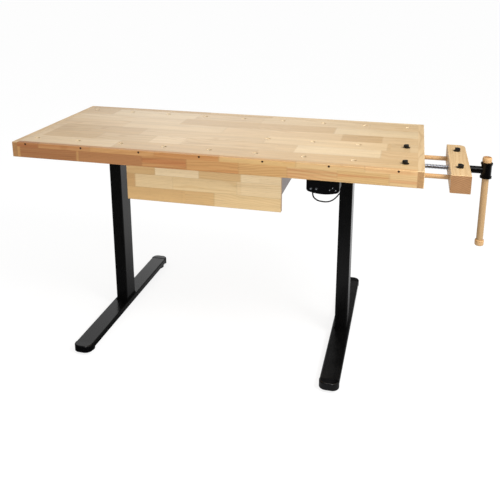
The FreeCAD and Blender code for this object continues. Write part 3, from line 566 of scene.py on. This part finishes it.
for n in ("levelling_foot_front_left", "levelling_foot_front_right", "levelling_foot_rear_left", "levelling_foot_rear_right"):
    give(n, pad)
give("lift_nut_tubes", steel("nut_tube_steel", (0.42, 0.42, 0.43), axis="Z"))
lift_steel = steel("lift_screw_steel", (0.5, 0.5, 0.51), axis="Z")
for n in ("lift_screw_left", "lift_screw_right"):
    give(n, lift_steel)
screw_black = steel("screw_black", (0.05, 0.05, 0.052), rough=0.4, axis="Z")
give("column_base_screws", screw_black)
give("bracket_screws", screw_black)
give("gear_motors", powder("motor_grey", srgb("232426"), rough=0.38, spec=0.4, grain=900.0))
# the hangers' colour is painted shade: the dark grey-mauve the board shows in the shade under the top, put on with a
# satin finish
give("drawer_hangers", paint_satin("carcase_shade_grey", srgb("857B7C")))
give("drawer_slide_rails", steel("slide_zinc", (0.62, 0.62, 0.61), axis="Y", zinc=True))
give("drawer_slide_runners", steel("runner_zinc", (0.62, 0.62, 0.61), axis="Y", zinc=True))
give("vise_nut", steel("nut_steel", (0.34, 0.35, 0.37), axis="X"))
screw_steel = steel("vise_screw_steel", (0.62, 0.64, 0.70), axis="X", dark=0.25)
give("vise_screw", screw_steel)
give("screw_collar", steel("collar_steel", (0.4, 0.41, 0.43), axis="X"))
cd.materials.append(rubber("cable_rubber", srgb("020202"), rough=0.70, spec=0.06))


# ---------------------------------------------------------------------------
# detailed pieces that stand for plain CAD ones
# ---------------------------------------------------------------------------
def add(name, verts, faces, mat, body, stands=(), sharp=32.0):
    me = bpy.data.meshes.new(name)
    me.from_pydata([tuple(v) for v in verts], [], faces)
    b = bmesh.new()
    b.from_mesh(me)
    bmesh.ops.recalc_face_normals(b, faces=b.faces)
    b.to_mesh(me)
    b.free()
    me.shade_smooth()
    me.set_sharp_from_angle(angle=math.radians(sharp))
    me.materials.append(mat)
    o = bpy.data.objects.new(name, me)
    col.objects.link(o)
    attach(o, body)
    if stands:
        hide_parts(*stands)
    return o


def rings_to_mesh(rings):
    """Closed skin through rings of equal length, with a fan at each end."""
    n = len(rings[0])
    verts = [p for r in rings for p in r]
    faces = []
    for i in range(len(rings) - 1):
        for j in range(n):
            a, b = i * n + j, i * n + (j + 1) % n
            faces.append((a, b, b + n, a + n))
    c0, c1 = len(verts), len(verts) + 1
    verts.append(sum((Vector(p) for p in rings[0]), Vector()) / n)
    verts.append(sum((Vector(p) for p in rings[-1]), Vector()) / n)
    for j in range(n):
        faces.append((c0, (j + 1) % n, j))
        faces.append((c1, (len(rings) - 1) * n + j, (len(rings) - 1) * n + (j + 1) % n))
    return verts, faces


def lathe(profile, centre, axis="Z", seg=40):
    """profile: (radius, height) pairs from bottom to top, in mm; centre in bench mm."""
    rings = []
    for r, h in profile:
        ring = []
        for j in range(seg):
            a = 2 * math.pi * j / seg
            c, s = r * math.cos(a), r * math.sin(a)
            d = {"Z": (c, s, h), "X": (h, c, s), "Y": (s, h, c)}[axis]
            ring.append(P(centre[0] + d[0], centre[1] + d[1], centre[2] + d[2]))
        rings.append(ring)
    return rings_to_mesh(rings)


# vise screw with its trapezoidal thread, 5 mm lead
LEAD, R_TOP, R_ROOT = 5.0, 7.85, 5.9


def thread_radius(phase):
    p = phase % 1.0
    if p < 0.36:
        return R_TOP
    if p < 0.50:
        return R_TOP + (R_ROOT - R_TOP) * (p - 0.36) / 0.14
    if p < 0.86:
        return R_ROOT
    return R_ROOT + (R_TOP - R_ROOT) * (p - 0.86) / 0.14


SEG, X_IN, X_THREAD, X_OUT = 30, 615.0, 828.5, 906.3
rings = []
xs = [X_IN] + [X_IN + 1.5 + 0.5 * i for i in range(int((X_THREAD - X_IN - 1.5) / 0.5))] + [X_THREAD, X_THREAD + 1.0, X_OUT]
for i, xx in enumerate(xs):
    ring = []
    for j in range(SEG):
        a = 2 * math.pi * j / SEG
        if i == 0:
            r = 5.2
        elif xx >= X_THREAD:
            r = 7.4 if xx < X_THREAD + 0.5 else 7.9
        else:
            r = thread_radius(xx / LEAD - j / SEG)
            fade = min(1.0, (xx - X_IN) / 4.0, (X_THREAD - xx) / 3.0)
            r = R_ROOT + (r - R_ROOT) * max(0.0, fade)
        ring.append(P(xx, -150.0 + r * math.cos(a), 775.0 + r * math.sin(a)))
    rings.append(ring)
v, f = rings_to_mesh(rings)
add("vise_screw_thread", v, f, screw_steel, "vise_screw", ("vise_screw",), sharp=28)

# turned knobs on the handle: bead, groove and a dimple where the lathe centre was
KX, KY = 955.0, -150.0


def knob_profile(z0, z1, r, up):
    """From the hub side to the free end; up is +1 when the free end is at the top."""
    pts = [(11.8, 0.0), (13.2, 0.3), (r - 0.7, 1.4), (r - 0.1, 2.6), (r, 4.0)]
    h = abs(z1 - z0)
    pts += [(r, 5.2), (r - 0.9, 5.9), (r - 0.9, 6.3), (r, 7.0), (r + 0.0, h * 0.55), (r - 0.2, h - 4.2), (r - 0.9, h - 2.3), (r - 2.2, h - 0.9),
            (r - 4.2, h - 0.15), (r - 6.2, h), (5.2, h - 0.05), (4.2, h - 0.35), (3.1, h - 1.2), (1.6, h - 1.8), (0.5, h - 1.95)]
    return [(a, z0 + up * b) for a, b in pts]


top_knob = knob_profile(802.0, 822.0, 15.5, 1)
low_knob = list(reversed(knob_profile(522.0, 500.0, 15.5, -1)))
for nm, prof, stand in (("knob_top", top_knob, True), ("knob_bottom", low_knob, False)):
    v, f = lathe(prof, (KX, KY, 0.0), "Z", 44)
    add(nm, v, f, knob_wood, "vise_handle", ("handle_caps",), sharp=40)


# handset: dark window, arrow marks and plain figures on the buttons
def prism(name, outline, y0, y1, mat, body):
    """Thin plate: an outline of (x, z) in bench mm from y0 to y1."""
    n = len(outline)
    verts = [P(x, y0, z) for x, z in outline] + [P(x, y1, z) for x, z in outline]
    faces = [tuple(range(n)), tuple(range(2 * n - 1, n - 1, -1))]
    faces += [(i, (i + 1) % n, n + (i + 1) % n, n + i) for i in range(n)]
    return add(name, verts, faces, mat, body, (), sharp=20)


def rounded(x0, z0, x1, z1, r, n=6):
    pts = []
    for cx, cz, a0 in ((x1 - r, z1 - r, 0), (x0 + r, z1 - r, 90), (x0 + r, z0 + r, 180), (x1 - r, z0 + r, 270)):
        for i in range(n + 1):
            a = math.radians(a0 + 90 * i / n)
            pts.append((cx + r * math.cos(a), cz + r * math.sin(a)))
    return pts


mark = plastic("mark_grey", srgb("73767B"), rough=0.5, spec=0.2)
pale = plastic("mark_pale", srgb("B9BCC0"), rough=0.5, spec=0.2)
glass = plastic("window_black", srgb("050506"), rough=0.06, spec=0.6, grain=60.0, strength=0.01, scuff=0.05)
prism("handset_window", rounded(412.3, 714.3, 436.7, 731.7, 1.6), -319.95, -319.25, glass, "lift")
ARROW = [(-3.0, -1.6), (3.0, -1.6), (3.0, -1.2), (0.35, 2.0), (-0.35, 2.0), (-3.0, -1.2)]
BU, BD = BUTTONS["up"], BUTTONS["down"]
prism("arrow_up", [(BU[0] + a, BU[1] + b) for a, b in ARROW], -321.62, -321.3, mark, "button_up")
prism("arrow_down", [(BD[0] + a, BD[1] - b) for a, b in reversed(ARROW)], -321.62, -321.3, mark, "button_down")


def figure(name, text, x, z, size, body):
    c = bpy.data.curves.new(name + "_line", "FONT")
    c.body = text
    c.size = size / 1000.0
    c.extrude = 0.00014
    c.align_x, c.align_y = "CENTER", "CENTER"
    t = bpy.data.objects.new(name + "_line", c)
    col.objects.link(t)
    bpy.context.view_layer.update()
    me = bpy.data.meshes.new_from_object(t.evaluated_get(bpy.context.evaluated_depsgraph_get()))
    bpy.data.objects.remove(t)
    me.transform(Matrix.Translation(P(x, -321.5, z)) @ Matrix.Rotation(math.radians(90), 4, "X"))
    b = bmesh.new()
    b.from_mesh(me)
    bmesh.ops.remove_doubles(b, verts=b.verts, dist=1e-6)
    bmesh.ops.recalc_face_normals(b, faces=b.faces)
    b.to_mesh(me)
    b.free()
    me.materials.clear()
    me.materials.append(pale)
    o = bpy.data.objects.new(name, me)
    col.objects.link(o)
    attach(o, body)


for i in (1, 2, 3):
    q = BUTTONS["memory_%d" % i]
    figure("figure_%d" % i, str(i), q[0], q[1], 5.6, "button_memory_%d" % i)

# ---------------------------------------------------------------------------
# floor, lights and sky: a white sweep, brighter behind the left and at the right
# ---------------------------------------------------------------------------
fm = bpy.data.meshes.new("floor")
fm.from_pydata([(-60, -60, 0), (60, -60, 0), (60, 60, 0), (-60, 60, 0)], [], [(0, 1, 2, 3)])
floor = bpy.data.objects.new("floor", fm)
col.objects.link(floor)
kf = Tree("floor_pale")
kf.set(color=(0.20, 0.20, 0.20), rough=1.0, spec=0.0)
em = kf.t.nodes.new("ShaderNodeEmission")
em.inputs[0].default_value = (1.0, 1.0, 1.0, 1.0)
em.inputs[1].default_value = 0.83
both = kf.t.nodes.new("ShaderNodeAddShader")
kf.t.links.new(kf.bsdf.outputs[0], both.inputs[0])
kf.t.links.new(em.outputs[0], both.inputs[1])
lp = kf.t.nodes.new("ShaderNodeLightPath")
fx, fy, fz = kf.xyz(kf.obj)
# painted reflections: seen only by reflected rays, the floor glows dark in front, brighter behind, and in a patch near
# the front and one at the right that the polished parts mirror
dark = kf.t.nodes.new("ShaderNodeEmission")
seen = kf.range(fy, -0.3, 1.1, 0.03, 0.56, smooth=True)
near = kf.m("MULTIPLY", kf.range(fy, -1.5, -0.5, 0.0, 0.24, smooth=True), kf.range(fy, -0.4, -0.2, 1.0, 0.0))
near = kf.m("MULTIPLY", near, kf.range(fx, -0.3, 0.2, 0.0, 1.0))
side = kf.m("MULTIPLY", kf.range(fy, 0.08, 0.42, 0.0, 0.55, smooth=True), kf.range(fx, 0.48, 0.54, 0.0, 1.0))
kf.put(dark.inputs[0], kf.grey(kf.m("ADD", kf.m("ADD", seen, near), side)))
pick = kf.t.nodes.new("ShaderNodeMixShader")
kf.t.links.new(lp.outputs["Is Glossy Ray"], pick.inputs[0])
kf.t.links.new(both.outputs[0], pick.inputs[1])
kf.t.links.new(dark.outputs[0], pick.inputs[2])
kf.t.links.new(pick.outputs[0], kf.out.inputs[0])
fm.materials.append(kf.mat)

world = bpy.data.worlds.new("studio")
scene.world = world
world.use_nodes = True
wt = world.node_tree
wt.nodes.clear()
wo = wt.nodes.new("ShaderNodeOutputWorld")
tcw = wt.nodes.new("ShaderNodeTexCoord")


def wmath(op, a, b=0.0, c=0.0):
    n = wt.nodes.new("ShaderNodeMath")
    n.operation = op
    for i, q in enumerate((a, b, c)):
        if isinstance(q, bpy.types.NodeSocket):
            wt.links.new(q, n.inputs[i])
        else:
            n.inputs[i].default_value = q
    return n.outputs[0]


def lobe(direction, lo, hi, power):
    """Soft patch of sky about a direction."""
    d = Vector(direction).normalized()
    n = wt.nodes.new("ShaderNodeVectorMath")
    n.operation = "DOT_PRODUCT"
    wt.links.new(tcw.outputs["Generated"], n.inputs[0])
    n.inputs[1].default_value = tuple(d)
    r = wt.nodes.new("ShaderNodeMapRange")
    r.interpolation_type = "SMOOTHSTEP"
    wt.links.new(n.outputs["Value"], r.inputs[0])
    for i, q in enumerate((lo, hi, 0.0, power)):
        r.inputs[i + 1].default_value = q
    return r.outputs[0]


# light that falls on the matt surfaces
sky = wmath("ADD", 0.56, lobe((0.9, 0.0, 0.5), 0.5, 0.95, 0.6))
sky = wmath("ADD", sky, lobe((0.0, 0.0, 1.0), 0.4, 1.0, 0.5))
# what the polished surfaces mirror: bright cards behind the left, dark elsewhere
mirror = wmath("ADD", 0.10, lobe((-0.25, 0.935, 0.25), 0.965, 0.999, 1.15))
mirror = wmath("ADD", mirror, lobe((-0.52, 0.73, 0.44), 0.90, 0.985, 0.85))
mirror = wmath("ADD", mirror, lobe((0.95, 0.0, 0.3), 0.6, 0.95, 0.45))
mirror = wmath("ADD", mirror, lobe((0.1, -0.1, 1.0), 0.75, 0.98, 1.3))
mirror = wmath("ADD", mirror, lobe((0.16, -0.62, 0.77), 0.965, 0.992, 6.0))
wl = wt.nodes.new("ShaderNodeLightPath")


def background(strength):
    n = wt.nodes.new("ShaderNodeBackground")
    if isinstance(strength, bpy.types.NodeSocket):
        wt.links.new(strength, n.inputs[1])
    else:
        n.inputs[1].default_value = strength
    return n.outputs[0]


def choose(flag, no, yes):
    n = wt.nodes.new("ShaderNodeMixShader")
    wt.links.new(wl.outputs[flag], n.inputs[0])
    wt.links.new(no, n.inputs[1])
    wt.links.new(yes, n.inputs[2])
    return n.outputs[0]


shown = choose("Is Glossy Ray", background(sky), background(mirror))
shown = choose("Is Camera Ray", shown, background(1.25))
wt.links.new(shown, wo.inputs[0])


def area(name, loc, target, size, size_y, power, colour=(1, 1, 1)):
    d = bpy.data.lights.new(name, "AREA")
    d.shape = "RECTANGLE"
    d.size, d.size_y, d.energy, d.color = size, size_y, power, colour
    o = bpy.data.objects.new(name, d)
    o.location = loc
    o.rotation_euler = (Vector(target) - Vector(loc)).to_track_quat("-Z", "Y").to_euler()
    o.visible_camera = False
    col.objects.link(o)
    return o


area("key_right", (1.9, -1.1, 2.5), (0.3, 0.0, 0.75), 1.0, 1.0, 65.0).visible_glossy = False
area("front_fill", (1.1, -4.0, 1.5), (0.0, 0.0, 0.7), 2.2, 1.4, 57.0).visible_glossy = False

scene.view_settings.view_transform = "Standard"
scene.view_settings.look = "None"
scene.view_settings.exposure = 0.0
scene.view_settings.gamma = 1.0
